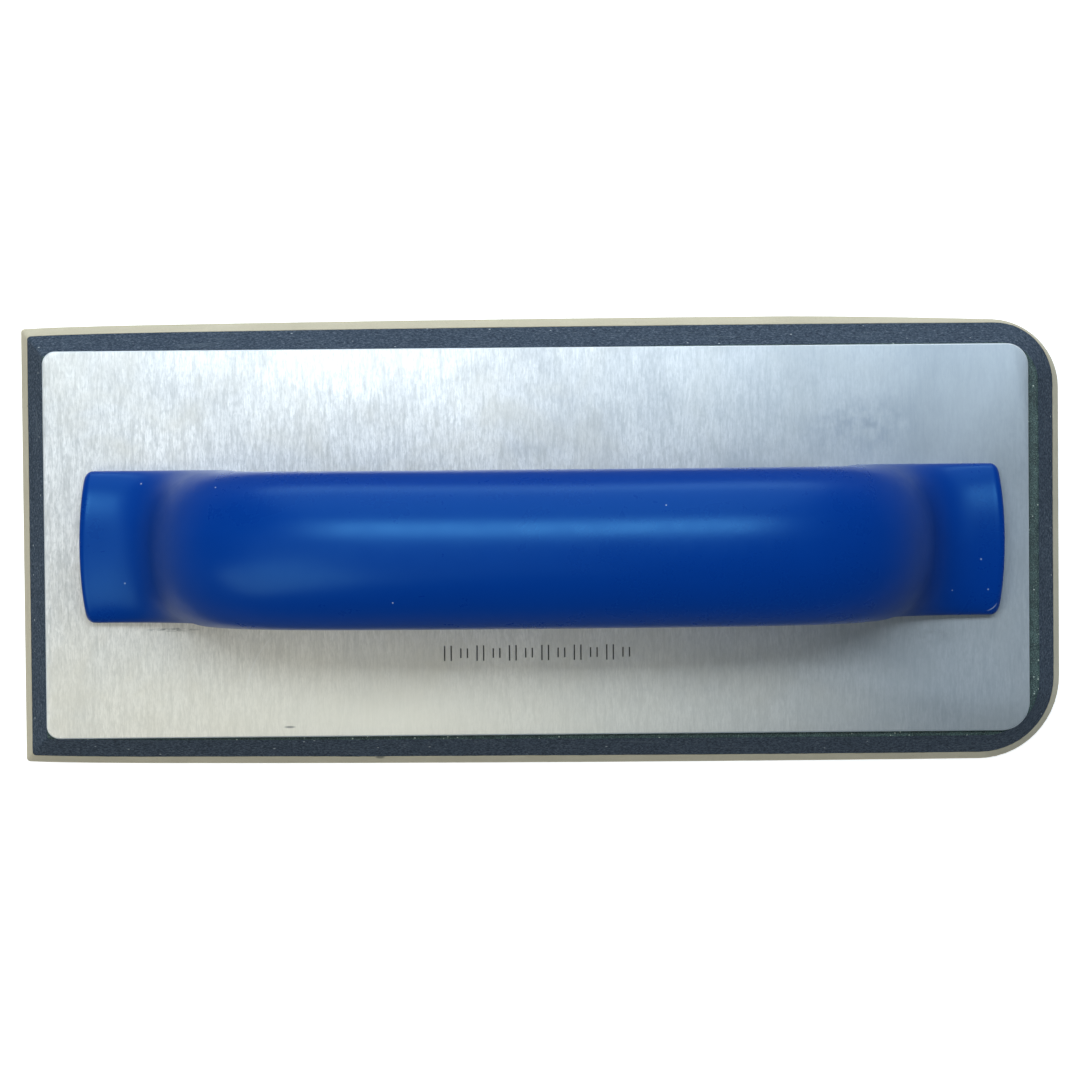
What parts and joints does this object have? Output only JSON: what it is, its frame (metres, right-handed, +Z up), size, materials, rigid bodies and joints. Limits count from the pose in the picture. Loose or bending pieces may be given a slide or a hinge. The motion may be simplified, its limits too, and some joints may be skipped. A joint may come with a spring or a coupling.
{
  "type": "rubber grout float",
  "caption": "Rubber-faced grout float: bevelled rubber pad with two square and two rounded corners, metal backing plate and an arched grip over a finger gap.",
  "frame": {"origin": "middle of the working face's bounding box, on the face itself, so the float rests on z = 0", "axes": "+X along the tool towards the two rounded corners, +Y across it, +Z up from the working face to the grip"},
  "size_m": [0.2414, 0.1038, 0.0743],
  "materials": {
    "gum_rubber": "matt tan gum rubber with fine cut marks on its bevelled sides",
    "rubber_cement": "thin dark bond line of rubber cement",
    "sponge_rubber": "matt dark blue-grey closed-cell sponge rubber with open pores where cut",
    "green_adhesive": "dark green adhesive film with pale specks",
    "aluminium_plate": "fine brushed grain running across the tool, with light handling marks",
    "handle_plastic": "satin blue moulded structural foam",
    "screw_steel": "zinc plated"
  },
  "bodies": {
    "root": {"gum_rubber_face": "gum_rubber", "face_bond_film": "rubber_cement", "foam_core": "sponge_rubber", "plate_bond_film": "green_adhesive", "backing_plate": "aluminium_plate", "handle": "handle_plastic", "handle_screw_1": "screw_steel", "handle_screw_2": "screw_steel", "handle_screw_3": "screw_steel", "handle_screw_4": "screw_steel"}
  },
  "joints": []
}
